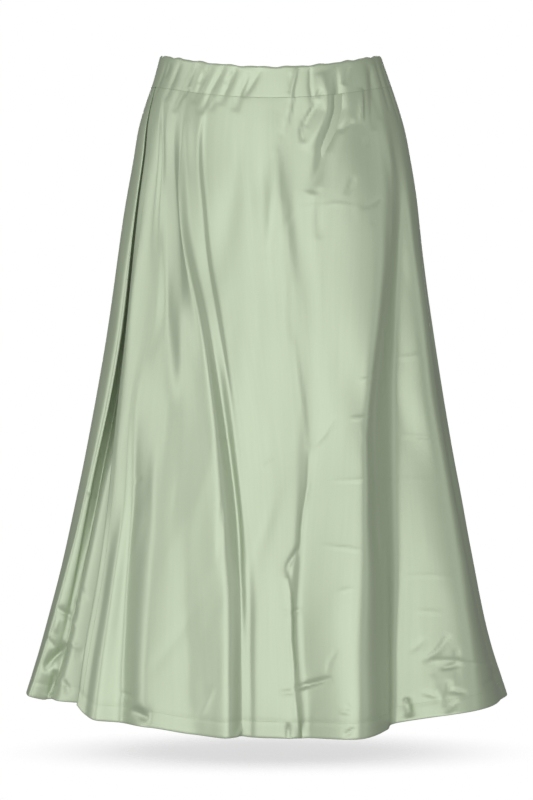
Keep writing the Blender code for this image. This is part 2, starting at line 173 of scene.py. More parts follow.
# Small pressed creases and wrinkles, as they are seen from straight ahead: a path of (across, below the waist)
# in millimetres, half width and height in millimetres, and how much more one side stands up than the other.
Crease = namedtuple("Crease", "name path half_width height lean")
CREASE_DEPTH = 1.7           # all creases stand this much deeper than their listed heights
WRAP_CREASES = [Crease(*row) for row in (
    ("left gather", ((-106, 11), (-115, 33), (-125, 57)), 4, -0.7, 0),
    ("left gather", ((-87, 14), (-98, 39), (-108, 58), (-114, 72)), 4, -1, 0),
    ("left gather", ((-70, 16), (-82, 40), (-91, 63)), 4, -1.1, 0),
    ("left gather", ((-53, 18), (-69, 46), (-78, 67), (-83, 76)), 4, -1.4, 0),
    ("left gather", ((-39, 20), (-51, 46), (-60, 66)), 4, -1.1, 0),
    ("left gather", ((-25, 28), (-35, 51), (-42, 74)), 4, -1.2, 0),
    ("left gather", ((-11, 23), (-23, 44), (-31, 58)), 4, -0.8, 0),
    ("small gather", ((-78, 24), (-85, 40)), 2.5, -0.5, 0),
    ("small gather", ((-45, 27), (-53, 41)), 2.5, -0.5, 0),
    ("small gather", ((-96, 44), (-102, 54)), 2.2, -0.5, 0),
    ("small gather", ((-64, 59), (-71, 72)), 2.4, -0.5, 0),
    ("small gather", ((-119, 11), (-125, 30)), 3, -0.6, 0),
    ("right gather", ((32, 22), (26, 47), (24, 65), (16, 101)), 3, 0.9, -1.5),
    ("small gather", ((23, 29), (22, 53)), 2, -0.4, 0),
    ("pinched gather", ((47, 21), (47, 44), (50, 66)), 2.4, -0.9, -0.5),
    ("pinched gather", ((56, 60), (45, 79), (38, 94), (37, 111)), 2.8, -1.6, 0.4),
    ("small gather", ((59, 46), (53, 59)), 2.2, -0.6, 0),
    ("great gather", ((76, 19), (80, 48), (80, 69), (74, 93), (62, 119), (57, 141), (48, 171)), 7.5, -3.4, 0),
    ("swell beside it", ((60, 27), (67, 55), (67, 74), (55, 98), (43, 120)), 7, 1.5, 0),
    ("smudge below it", ((56, 164), (55, 192), (55, 223)), 6, -0.9, 0),
    ("bright fold", ((108, 44), (108, 65), (108, 87)), 3, 1.2, -1.2),
    ("trough beside it", ((120, 16), (120, 51), (121, 93)), 5.5, -1.3, 0),
    ("short gather", ((98, 83), (81, 97)), 2.8, -0.9, 0),
    ("nick", ((112, 101), (113, 114)), 1.8, -0.5, 0),
    ("nick", ((98, 149), (94, 162), (88, 171)), 2.2, -0.7, 0),
    ("nick", ((131, 172), (121, 181), (106, 187)), 2.4, -0.7, 0),
    ("faint fold", ((25, 193), (13, 216)), 2.2, -0.35, 0),
    ("faint fold", ((9, 223), (-5, 247)), 3, -0.3, 0),
    ("front line top", ((10, 75), (9, 106), (5, 129)), 2.2, 0.25, -1.4),
    ("nick", ((124, 191), (119, 208)), 2.2, -0.35, 0),
    ("short gather", ((92, 17), (87, 41)), 3.2, -1, 0),
    ("small gather", ((38, 72), (37, 91)), 2, -0.4, 0),
    ("front line", ((10, 120), (11, 179), (14, 237), (20, 286), (26, 333)), 2.6, 0.3, -1.3),
    ("front line low", ((26, 326), (32, 377), (39, 423), (44, 472)), 3, 0.25, -1.3),
    ("faint fold", ((21, 272), (21, 307), (27, 347)), 3, -0.3, 0),
    ("diagonal", ((75, 430), (63, 451), (47, 468)), 2, -0.45, 0),
    ("nick", ((2, 480), (-9, 493)), 1.6, 0.4, 0),
    ("pressed line", ((92, 432), (111, 430), (127, 429)), 1.8, 0.35, -1.5),
    ("pressed line", ((147, 364), (164, 362), (181, 358)), 1.8, 0.35, 1.2),
    ("pressed line", ((102, 388), (132, 385)), 1.8, 0.3, -1.5),
    ("pressed line", ((146, 454), (180, 456), (220, 456)), 1.8, 0.3, 1.2),
    ("pressed line", ((69, 506), (127, 504), (224, 509)), 1.8, 0.2, 1.2),
    ("pressed line", ((32, 187), (75, 181), (109, 185)), 1.8, 0.2, -1.2),
    ("pressed line", ((59, 580), (86, 583), (108, 586)), 1.8, 0.25, 1.2),
    ("pressed line", ((77, 632), (96, 629)), 1.8, 0.3, 1.2),
    ("pressed line", ((147, 619), (186, 618), (223, 621)), 1.8, 0.2, 1.2),
    ("pressed line", ((169, 659), (200, 661)), 1.8, 0.25, 1.2),
    ("centre crease", ((45, 469), (43, 510), (38, 538), (35, 561), (34, 583)), 2.6, -1, 0),
    ("centre crease", ((35, 578), (28, 589), (20, 602), (18, 616)), 4, -1.2, 0),
    ("centre crease", ((18, 607), (23, 632), (24, 658), (24, 686), (27, 715), (28, 747)), 3, 1.2, -1.2),
    ("centre crease", ((28, 743), (30, 768), (33, 799)), 3, 1, -1.2),
    ("branch", ((22, 657), (36, 652)), 1.9, -0.7, 0.3),
    ("branch", ((12, 655), (23, 655)), 2, 0.4, -0.6),
    ("great branch", ((27, 743), (43, 738), (56, 734), (70, 729)), 2.8, -1.5, 0.6),
    ("branch", ((9, 747), (27, 745)), 2, -0.6, 0),
    ("branch", ((76, 696), (67, 711), (64, 725)), 1.9, -0.55, 0),
    ("nick", ((86, 757), (93, 768)), 2, -0.5, 0),
    ("nick", ((77, 767), (95, 767)), 1.8, 0.35, 1.2),
    ("hem pucker", ((83, 794), (96, 784)), 2.2, -0.8, 0),
    ("hem pucker", ((20, 781), (20, 801)), 3.2, -1.5, 0),
    ("hem pucker", ((36, 779), (36, 801)), 2.6, -1.2, 0),
    ("hem pucker", ((-32, 783), (-40, 799)), 2.4, 0.9, 0),
    ("hem dent", ((-160, 768), (-150, 773), (-138, 776)), 7, -2.6, 0),
    ("faint fold", ((-176, 750), (-157, 755)), 3, -0.6, 0),
    ("faint fold", ((-64, 736), (-75, 760), (-84, 775)), 3, -0.6, 0),
    ("nick", ((-159, 511), (-149, 501)), 2, -0.5, 0),
    ("nick", ((-63, 453), (-47, 456)), 2, -0.4, 0),
    ("side branch", ((-56, 525), (-57, 552), (-59, 598)), 2.4, -0.9, 0),
    ("wrinkle", ((208, 685), (194, 704), (177, 716)), 3, -1, 0.4),
    ("wrinkle", ((197, 724), (220, 720)), 1.9, -1, 0.3),
    ("wrinkle", ((218, 699), (216, 721)), 1.9, -0.7, 0),
    ("wrinkle", ((188, 731), (193, 750), (201, 763)), 2.1, 0.7, 0),
    ("wrinkle", ((176, 750), (195, 757)), 2, -0.7, 0),
    ("wrinkle", ((207, 737), (206, 753), (203, 768)), 2.7, -1.5, 0),
    ("wrinkle", ((206, 748), (229, 752)), 2, -1, 0),
    ("hem pucker", ((217, 759), (203, 775)), 2.6, -1.2, 0),
    ("wrinkle", ((182, 714), (215, 714), (244, 722)), 2.2, 0.6, -0.6),
    ("wrinkle", ((232, 717), (253, 724), (273, 732)), 2.5, 0.8, -0.4),
    ("wrinkle", ((272, 737), (247, 746)), 2.6, -0.8, 0),
    ("wrinkle", ((162, 706), (179, 689)), 2.6, -0.5, 0),
    ("hem dent", ((157, 757), (161, 779)), 4.2, -2.2, 0),
    ("wrinkle", ((218, 724), (217, 744)), 2, -0.5, 0),
    ("wrinkle", ((272, 749), (276, 760)), 2, -0.8, 0),
)]


# The elastic's gathers at the back, on the casing and the panel below it. They are a guess.
BACK_GATHERS = [Crease(*row) for row in (
    ("gather", ((-104, 12), (-98, 44), (-96, 84)), 4, -1.0, 0),
    ("gather", ((-81, 8), (-74, 40), (-76, 71)), 3.4, -1.2, 0),
    ("small gather", ((-63, 10), (-60, 36)), 2.4, -0.7, 0),
    ("great gather", ((-47, 6), (-44, 42), (-51, 80), (-58, 122)), 6, -2.2, 0),
    ("gather", ((-22, 8), (-24, 43), (-19, 68)), 3.6, -1.1, 0),
    ("small gather", ((-4, 14), (-6, 40)), 2.2, -0.6, 0),
    ("gather", ((17, 7), (21, 38), (19, 75), (26, 96)), 3.2, -1.3, 0.5),
    ("gather", ((43, 9), (40, 48), (46, 77)), 4.2, -1.2, 0),
    ("pinched gather", ((66, 30), (62, 58), (65, 88)), 2.6, -1.1, -0.4),
    ("great gather", ((88, 10), (91, 45), (86, 83), (94, 130)), 5.5, -1.9, 0),
    ("small gather", ((109, 12), (112, 41)), 2.6, -0.7, 0),
)]


def crease_height(points, creases):
    """Millimetres that the creases move the cloth. Each is sharpest along its path and runs out at both ends."""
    across, below = points[..., 0] / MM, -points[..., 2] / MM
    height = np.zeros(across.shape)
    for crease in creases:
        path = np.array(crease.path, float)
        reach = crease.half_width * 6
        low, high = path.min(0) - reach, path.max(0) + reach
        near = (across > low[0]) & (across < high[0]) & (below > low[1]) & (below < high[1])
        if not near.any():
            continue
        x, y = across[near], below[near]
        lengths = np.linalg.norm(np.diff(path, axis=0), axis=1)
        start = np.concatenate([[0], np.cumsum(lengths)])
        best = np.full(x.shape, 1e9)
        aside, along = np.zeros(x.shape), np.zeros(x.shape)
        for a, b, length, begun in zip(path[:-1], path[1:], lengths, start):
            way = (b - a) / length
            t = np.clip((x - a[0]) * way[0] + (y - a[1]) * way[1], 0, length)
            dx, dy = x - a[0] - way[0] * t, y - a[1] - way[1] * t
            far = dx * dx + dy * dy
            closer = far < best
            best = np.where(closer, far, best)
            aside = np.where(closer, np.sqrt(far) * np.sign(dx * way[1] - dy * way[0]), aside)
            along = np.where(closer, (begun + t) / start[-1], along)
        q = aside / crease.half_width
        fade = np.sin(np.pi * np.clip(along, 0, 1)) ** 0.6
        ridge = 1 / (1 + q * q) ** 1.5
        height[near] += CREASE_DEPTH * crease.height * fade * (ridge + crease.lean * q * ridge)
    return height


class Wire:
    """A number in a material's nodes. Plus, minus, times, divided by and powers of it add Math nodes."""

    def __init__(self, tree, socket=None):
        self.tree, self.socket = tree, socket

    def node(self, kind, settings=None, output=0, **sockets):
        """Any other node, by its type, with its settings and its sockets' values or links."""
        made = self.tree.nodes.new(kind)
        for setting, value in (settings or {}).items():
            setattr(made, setting, value)
        for name, value in sockets.items():
            key = int(name[1:]) if name[0] == "i" and name[1:].isdigit() else name.replace("_", " ")
            socket = made.inputs[key]
            if isinstance(value, Wire):
                self.tree.links.new(value.socket, socket)
            else:
                socket.default_value = value
        return Wire(self.tree, made.outputs[output])

    def math(self, operation, first, second):
        return self.node("ShaderNodeMath", {"operation": operation}, i0=first, i1=second)

    def __add__(self, other): return self.math("ADD", self, other)
    def __radd__(self, other): return self.math("ADD", other, self)
    def __sub__(self, other): return self.math("SUBTRACT", self, other)
    def __rsub__(self, other): return self.math("SUBTRACT", other, self)
    def __mul__(self, other): return self.math("MULTIPLY", self, other)
    def __rmul__(self, other): return self.math("MULTIPLY", other, self)
    def __truediv__(self, other): return self.math("DIVIDE", self, other)
    def __rtruediv__(self, other): return self.math("DIVIDE", other, self)
    def __pow__(self, other): return self.math("POWER", self, other)


SATIN_LIGHT = (0.480, 0.560, 0.405, 1.0)
SATIN_DEEP = (0.415, 0.500, 0.345, 1.0)
SATIN_ROUGHNESS = 0.38
FLOAT_PITCH = 0.00045        # the satin's long floating threads lie this far apart, and run down the cloth
SLUB_PITCH = 0.0035          # slightly lighter and darker threads make faint streaks this wide


def make_satin(name):
    """Warp satin: floats down the cloth in the bump, faint streaks and clouds in its colour and gloss."""
    material = bpy.data.materials.new(name)
    material.use_nodes = True
    tree = material.node_tree
    shader = tree.nodes["Principled BSDF"]
    make = Wire(tree)
    cloth = make.node("ShaderNodeUVMap", {"uv_map": "cloth"})
    stretched = lambda across, down: make.node("ShaderNodeMapping", Vector=cloth, Scale=(across, down, 1.0))
    floats = make.node("ShaderNodeTexNoise", Vector=stretched(1 / FLOAT_PITCH, 0.10 / FLOAT_PITCH), Scale=1.0,
                       Detail=1.0, Roughness=0.5)
    streaks = make.node("ShaderNodeTexNoise", Vector=stretched(1 / SLUB_PITCH, 0.03 / SLUB_PITCH), Scale=1.0,
                        Detail=2.0, Roughness=0.6)
    clouds = make.node("ShaderNodeTexNoise", Vector=make.node("ShaderNodeTexCoord", output=3), Scale=14.0,
                       Detail=3.0, Roughness=0.55)
    shade = 0.55 * streaks + 0.45 * clouds
    colour = make.node("ShaderNodeMix", {"data_type": "RGBA"}, output=2, Factor=shade, i6=SATIN_DEEP, i7=SATIN_LIGHT)
    tree.links.new(colour.socket, shader.inputs["Base Color"])
    roughness = SATIN_ROUGHNESS - 0.03 + 0.08 * clouds - 0.03 * streaks
    tree.links.new(roughness.socket, shader.inputs["Roughness"])
    relief = 0.8 * floats + 0.5 * streaks
    bump = make.node("ShaderNodeBump", Strength=0.10, Distance=0.0003, Height=relief)
    tree.links.new(bump.socket, shader.inputs["Normal"])
    shader.inputs["Metallic"].default_value = 0.22
    shader.inputs["Specular IOR Level"].default_value = 0.60
    shader.inputs["Anisotropic"].default_value = 0.35
    shader.inputs["Sheen Weight"].default_value = 0.06
    shader.inputs["Sheen Roughness"].default_value = 0.45
    return material


SATIN = make_satin("sage_satin")


def finish_mesh(name, points, faces, cloth_places, ring_length=0.0):
    """A smooth shaded piece of satin with its place on the flat cloth, in metres, as a UV map."""
    mesh = bpy.data.meshes.new(name)
    mesh.from_pydata(points.tolist(), [], [tuple(face) for face in faces])
    mesh.materials.append(SATIN)
    mesh.shade_smooth()
    corners = np.empty(len(mesh.loops), int)
    mesh.loops.foreach_get("vertex_index", corners)
    places = cloth_places[corners].copy()
    if ring_length:
        starts = np.empty(len(mesh.polygons), int)
        totals = np.empty(len(mesh.polygons), int)
        mesh.polygons.foreach_get("loop_start", starts)
        mesh.polygons.foreach_get("loop_total", totals)
        face_of = np.repeat(np.arange(len(starts)), totals)
        highest = np.maximum.reduceat(places[:, 0], starts)
        places[places[:, 0] < highest[face_of] - ring_length / 2, 0] += ring_length
    layer = mesh.uv_layers.new(name="cloth")
    layer.data.foreach_set("uv", places.astype(np.float32).ravel())
    piece = bpy.data.objects.new(name, mesh)
    bpy.context.scene.collection.objects.link(piece)
    return piece


CASING_COLUMNS = 600
CASING_ROWS = 22
CASING_INNER_ROWS = 6
CASING_DRAW = 0.08           # millimetres that the row of stitches draws the cloth in
CASING_SWELL = 0.12          # millimetres that the elastic fills the casing out
CASING_LENGTH = 0.77         # round the casing, along its gathered cloth
EDGE_WAVE = 0.5              # millimetres that the top edge waves up and down
EDGE_WAVE_DEPTH = 0.012


def make_casing(name):
    """A ring whose section is a closed loop: down outside, round the stitched edge, up inside, over the top."""
    turn = np.linspace(-180, 180, CASING_COLUMNS, endpoint=False)
    half = CASING_THICKNESS / 2
    profile = []             # rows of (fraction of the casing's height, inward metres)
    for down in np.append(np.linspace(0, 1, CASING_ROWS)[:-1], (0.994, 1.0)):
        profile.append((half + (CASING_HEIGHT - half) * down, 0.0))
    profile += [(CASING_HEIGHT, half), (CASING_HEIGHT, 2 * half)]
    for down in np.linspace(1, 0, CASING_INNER_ROWS + 1)[1:]:
        profile.append((half + (CASING_HEIGHT - half) * down, 2 * half))
    for bend in (45, 90, 135):
        swing = np.radians(bend)
        profile.append((half - half * np.sin(swing), half + half * np.cos(swing)))
    depth, inward = np.array(profile).T
    angle, depth = np.meshgrid(turn, depth)
    inward = np.broadcast_to(inward[:, None], angle.shape)
    edge_wave = EDGE_WAVE * MM * (np.sin(np.radians(angle) * 23 + 1.0) + 0.7 * np.sin(np.radians(angle) * 41)) * \
        np.clip(1 - depth / EDGE_WAVE_DEPTH, 0, 1)
    below = waist_dip(angle) + depth + edge_wave
    swell = CASING_SWELL * np.sin(np.pi * np.clip(depth / CASING_HEIGHT, 0, 1)) ** 2
    draw = CASING_DRAW * np.exp(-((depth - CASING_HEIGHT) / DRAW_SPREAD) ** 2)
    outer_share = np.clip(1 - inward / CASING_THICKNESS, 0, 1)
    height = gather_height(angle, below) + (swell - draw) * outer_share
    points = place_on_form(angle, below, height) - level_outward(angle, below) * inward[..., None]
    front = np.clip(-points[..., 1] / 0.02, 0, 1)
    rear = np.clip(points[..., 1] / 0.02, 0, 1)
    lift = crease_height(points, WRAP_CREASES) * front + crease_height(points, BACK_GATHERS) * rear
    points += level_outward(angle, below) * (lift * MM)[..., None]
    rows, columns = angle.shape
    number = np.arange(rows * columns).reshape(rows, columns)
    number = np.vstack([number, number[:1]])
    number = np.hstack([number, number[:, :1]])
    faces = np.stack([number[:-1, :-1], number[1:, :-1], number[1:, 1:], number[:-1, 1:]], axis=-1).reshape(-1, 4)
    across = (angle + 180) / 360 * CASING_LENGTH
    down = np.cumsum(np.vstack([np.zeros((1, columns)), np.linalg.norm(np.diff(points, axis=0), axis=-1)]), axis=0)
    places = np.stack([across, -down], axis=-1).reshape(-1, 2)
    piece = finish_mesh(name, points.reshape(-1, 3), faces, places, CASING_LENGTH)
    seam = points[CASING_ROWS - 1] * 0.5 + points[CASING_ROWS] * 0.5
    return piece, seam, level_outward(angle, below)[CASING_ROWS]


casing, casing_seam, casing_outward = make_casing("casing_satin")
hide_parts("waist_casing")
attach(casing, "root")

# ==== stitches ===========================================================================================
# Lockstitch in polyester thread a shade darker than the satin, about eight stitches to an inch. The casing's row
# is here, and each panel's rows are sewn in its own section with the same tree.
THREAD_COLOUR = (0.41, 0.50, 0.34, 1.0)
STITCH_PITCH = 0.0032
STITCH_LENGTH = 0.0024
STITCH_WIDTH = 0.00042


def make_thread(name):
    material = bpy.data.materials.new(name)
    material.use_nodes = True
    shader = material.node_tree.nodes["Principled BSDF"]
    make = Wire(material.node_tree)
    place = make.node("ShaderNodeTexCoord", output=3)
    speckle = make.node("ShaderNodeTexNoise", Vector=place, Scale=2500.0, Detail=1.0)
    roughness = 0.42 + 0.2 * speckle
    material.node_tree.links.new(roughness.socket, shader.inputs["Roughness"])
    shader.inputs["Base Color"].default_value = THREAD_COLOUR
    shader.inputs["Sheen Weight"].default_value = 0.1
    return material


def stitch_tree(name, thread):
    """Geometry Nodes: thread stitches at an even pitch along an edge path, each lying along it."""
    tree = bpy.data.node_groups.new(name, "GeometryNodeTree")
    tree.is_modifier = True
    tree.interface.new_socket("Geometry", in_out="INPUT", socket_type="NodeSocketGeometry")
    for label, value in (("Pitch", STITCH_PITCH), ("Length", STITCH_LENGTH), ("Width", STITCH_WIDTH)):
        tree.interface.new_socket(label, in_out="INPUT", socket_type="NodeSocketFloat").default_value = value
    tree.interface.new_socket("Seed", in_out="INPUT", socket_type="NodeSocketInt").default_value = 4
    tree.interface.new_socket("Geometry", in_out="OUTPUT", socket_type="NodeSocketGeometry")
    make = Wire(tree)
    given = tree.nodes.new("NodeGroupInput")
    path, pitch, length, width, seed = (Wire(tree, given.outputs[i]) for i in range(5))
    curve = make.node("GeometryNodeMeshToCurve", Mesh=path)
    spaced = make.node("GeometryNodeResampleCurve", {"mode": "LENGTH"}, Curve=curve, Length=pitch)
    tangent = make.node("GeometryNodeInputTangent")
    along = make.node("FunctionNodeAlignRotationToVector", {"axis": "Z"}, Vector=tangent)
    bead = make.node("GeometryNodeMeshUVSphere", Segments=8, Rings=5, Radius=0.5)
    vary = make.node("FunctionNodeRandomValue", {"data_type": "FLOAT"}, output=1, i2=0.85, i3=1.1, Seed=seed)
    size = make.node("ShaderNodeCombineXYZ", X=width, Y=width, Z=length * vary)
    placed = make.node("GeometryNodeInstanceOnPoints", Points=spaced, Instance=bead, Rotation=along, Scale=size)
    solid = make.node("GeometryNodeRealizeInstances", Geometry=placed)
    smooth = make.node("GeometryNodeSetShadeSmooth", Geometry=solid)
    dyed = make.node("GeometryNodeSetMaterial", Geometry=smooth, Material=thread)
    result = tree.nodes.new("NodeGroupOutput")
    tree.links.new(dyed.socket, result.inputs[0])
    return tree


THREAD = make_thread("sage_thread")
STITCHES = stitch_tree("stitch_row", THREAD)


def sew(name, rows, seed):
    """Rows of stitches on paths of points, made once by the tree and kept as a plain mesh."""
    points = [tuple(map(float, point)) for row in rows for point in row]
    ends = np.cumsum([len(row) for row in rows])
    edges = [(i, i + 1) for i in range(len(points) - 1) if i + 1 not in ends]
    mesh = bpy.data.meshes.new(name + "_path")
    mesh.from_pydata(points, edges, [])
    carrier = bpy.data.objects.new(name + "_path", mesh)
    bpy.context.scene.collection.objects.link(carrier)
    modifier = carrier.modifiers.new("stitches", "NODES")
    modifier.node_group = STITCHES
    keys = {item.name: item.identifier for item in STITCHES.interface.items_tree if item.in_out == "INPUT"}
    modifier[keys["Pitch"]], modifier[keys["Seed"]] = STITCH_PITCH, seed
    graph = bpy.context.evaluated_depsgraph_get()
    stitched = bpy.data.meshes.new_from_object(carrier.evaluated_get(graph))
    carrier.modifiers.remove(modifier)
    bpy.data.objects.remove(carrier)
    piece = bpy.data.objects.new(name, stitched)
    bpy.context.scene.collection.objects.link(piece)
    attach(piece, "root")
    return piece


STITCH_LIFT = 0.00012        # the thread's middle lies this far above the cloth
casing_row = casing_seam + casing_outward * STITCH_LIFT
sew("casing_stitches", [np.vstack([casing_row, casing_row[:1]])], 11)

# ==== front wrap panel ===================================================================================
# The outer front panel, cut in satin from the side seam on the right to a free edge on the left. Its top is
# sewn under the casing, its free edge and hem are turned in once and stitched, and it hangs in long folds.
FOLD_STATIONS = (0.0, 0.08, 0.2, 0.35, 0.5, 0.65, 0.8, 0.92, 1.0)
Fold = namedtuple("Fold", "name angles heights hem")
WRAP_FOLDS = [Fold(*row) for row in (
    ("free edge", (-72, -66.3, -63, -60.7, -59.2, -56.1, -54.3, -53.2, -51.5),
     (-0, 0.1, 2.1, 2.3, 0.6, -0.2, -0.5, -0.5, -0.5), 0.7660),
    ("edge dent", (-66.8, -60.9, -59, -57.8, -55.8, -53, -50.8, -49.6, -48),
     (0, 0.2, 2, 4.4, 2.5, 0.6, -1.5, -1.5, -1.5), 0.7755),
    ("left crest", (-62.3, -55.8, -52.7, -49.8, -51.7, -48.6, -46.5, -45, -43.5),
     (0, 0.1, 0, 0.9, 1.7, -0.5, 1.5, 2.5, 2.5), 0.7810),
    ("left trough", (-58.2, -53, -49, -45, -47.8, -44.5, -42.5, -39.5, -37.5),
     (-0, -1.9, -3.6, -1.8, -0.5, -6, -9, -11, -12), 0.7836),
    ("second crest", (-52.6, -50.6, -45.6, -40, -35.5, -34, -31.5, -29.5, -27.5),
     (-0, -1.2, -3.9, -5.8, 1, 6.3, 8.5, 9.5, 10), 0.7855),
    ("soft slope", (-46.6, -45.3, -37.7, -32, -28.6, -25.3, -22.7, -19.1, -17.2),
     (-0, -0.7, 0, 2.8, 4.9, 9.3, 7.9, 7.8, 8.1), 0.7920),
    ("broad crest", (-41.3, -40.1, -35, -24.7, -18.1, -14.4, -11.1, -9.7, -9.1),
     (0, 2.3, 11.3, 14.2, 13.4, 15.4, 16.5, 19, 19), 0.7950),
    ("main trough", (-38.3, -37.1, -31.6, -21.7, -15, -9.9, -7.2, -6.3, -6),
     (0, 1, 4, 4.8, -0.8, -3.2, 0.9, 2.4, 2.3), 0.7940),
    ("thin crest", (-31.5, -31.9, -26.5, -18.8, -12.4, -8, -5.4, -4.7, -4.4),
     (0, 2.5, 3.1, 3.6, 1.8, 1.2, 3, 2.2, 1.6), 0.7950),
    ("thin trough", (-27.8, -28.6, -24.1, -16.7, -10.4, -6.1, -3, -2.5, -2.4),
     (-0, -2.7, -2.6, -1.6, -0.5, 0.5, -0.5, -1.6, -2), 0.7960),
    ("middle crest", (0.2, 0.2, 2.5, 4.6, 6.6, 7.2, 5.2, 5.8, 5.8),
     (0, 0.8, -0.8, -2.6, -3, -3.6, -2.4, -3.1, -3.2), 0.7972),
    ("middle trough", (13, 13, 13.5, 13.6, 14, 10.6, 8.3, 8.6, 8.5),
     (0, -2, -4, -5, -5, -6.9, -7.2, -6.7, -6.7), 0.7970),
    ("great crest", (46, 47.2, 43.6, 36.2, 29.5, 25.6, 22.5, 20.1, 18.6),
     (-0, 0.4, 4.6, 8, 10.2, 16.7, 22.5, 24, 24), 0.7965),
    ("great lip", (55, 55.8, 52.4, 43.8, 35.5, 32.8, 32.2, 29.8, 27.9),
     (0, 1.3, 1.2, -0.7, -1.7, -3.7, -6.7, -7.6, -7.9), 0.7905),
    ("great trough", (65, 63, 61, 54.6, 48.1, 44.3, 40.6, 36.2, 32.9),
     (-0, -0.3, -4.3, -14.3, -21.1, -25.7, -29.5, -31.8, -32.2), 0.7855),
    ("right crest", (76, 72, 69.4, 69, 65.9, 65.9, 63.2, 58.6, 54),
     (0, 0.2, 1.5, 2.5, 3.4, 5.5, 9.5, 12, 13), 0.7715),
    ("right trough", (85, 83, 81.5, 81, 81, 80.5, 80, 79, 78), (0, 0, 0, 0, -1, -2, -3, -4, -4.5), 0.7660),
    ("right seam", (SIDE_SEAM,) * 9, (0,) * 9, 0.7650),
)]


SLACK_DENTS = 520
SLACK_RADIUS = 190           # millimetres, which turns an angle into a way round the skirt


def slack(points, seed, amount):
    """Soft uneven ripples of cloth that hangs free: long dents of many sizes, in millimetres."""
    draw = np.random.default_rng(seed)
    height = np.zeros(points.shape[:-1])
    turn = np.arctan2(points[..., 0], -points[..., 1])
    round_way = turn * SLACK_RADIUS
    down = -points[..., 2] / MM
    for _ in range(SLACK_DENTS):
        middle, level = draw.uniform(-600, 600), draw.uniform(60, 800)
        width = draw.uniform(4, 22)
        length = width * draw.uniform(3, 8)
        lean = draw.normal(0, 0.20)
        strength = draw.normal(0, 1.0) * width / 14
        p = (round_way - middle) - lean * (down - level)
        height += strength * np.exp(-(p / width) ** 2 - ((down - level) / length) ** 2)
    return height * amount * np.clip((down - 60) / 120, 0, 1)


PANEL_ROWS = 300
HEM_TURN = 0.018             # the hem is turned up inside by this much and stitched there
HEM_DRAW = 0.30              # millimetres that its stitches draw the cloth in
HEM_DRAW_SPREAD = 0.0022
HEM_DOUBLING = 0.7           # the turned hem adds this share of the cloth's thickness
HEM_STEP = 0.0008            # the change in thickness is spread over about this much
CASING_BLEND = 0.012         # near the casing, creases move the cloth straight out, as they move the casing
SEAM_FADE = 6                # degrees from a side seam where creases and slack run out, so that panels meet
EDGE_BENDS = (40.0, 90.0)    # degrees that a side edge or hem turns at each step, from the face to its outermost


def even_columns(folds, count):
    """Places along a panel so that its columns lie about evenly on the cloth."""
    fine = np.linspace(0, len(folds) - 1, 4000)
    total = np.zeros(len(fine) - 1)
    for down in (0.35, 0.65, 0.95):
        angles = rounded_wave(smooth_line(FOLD_STATIONS, [fold.angles for fold in folds], np.array([down])).T, fine)
        heights = rounded_wave(smooth_line(FOLD_STATIONS, [fold.heights for fold in folds], np.array([down])).T, fine)
        row = place_on_form(angles, np.full_like(angles, 0.06 + 0.72 * down), heights)[0]
        steps = np.linalg.norm(np.diff(row, axis=0), axis=1)
        total += steps / steps.sum()
    total = total * 0.85 / total.sum() + 0.15 / len(total)
    return np.interp(np.linspace(0, 1, count + 1), np.concatenate([[0], np.cumsum(total)]), fine)


def grid_normals(points):
    return unit(np.cross(np.gradient(points, axis=0), np.gradient(points, axis=1)))


def zip_borders(points, outer, inner):
    """Triangles between two lines of points that run side by side with different numbers of points."""
    fraction = []
    for line in (outer, inner):
        steps = np.linalg.norm(np.diff(points[line], axis=0), axis=1) + 1e-9
        fraction.append(np.concatenate([[0], np.cumsum(steps)]) / steps.sum())
    faces, i, j = [], 0, 0
    while i < len(outer) - 1 or j < len(inner) - 1:
        if j == len(inner) - 1 or (i < len(outer) - 1 and fraction[0][i + 1] <= fraction[1][j + 1]):
            faces.append((outer[i], inner[j], outer[i + 1]))
            i += 1
        else:
            faces.append((outer[i], inner[j], inner[j + 1]))
            j += 1
    return faces


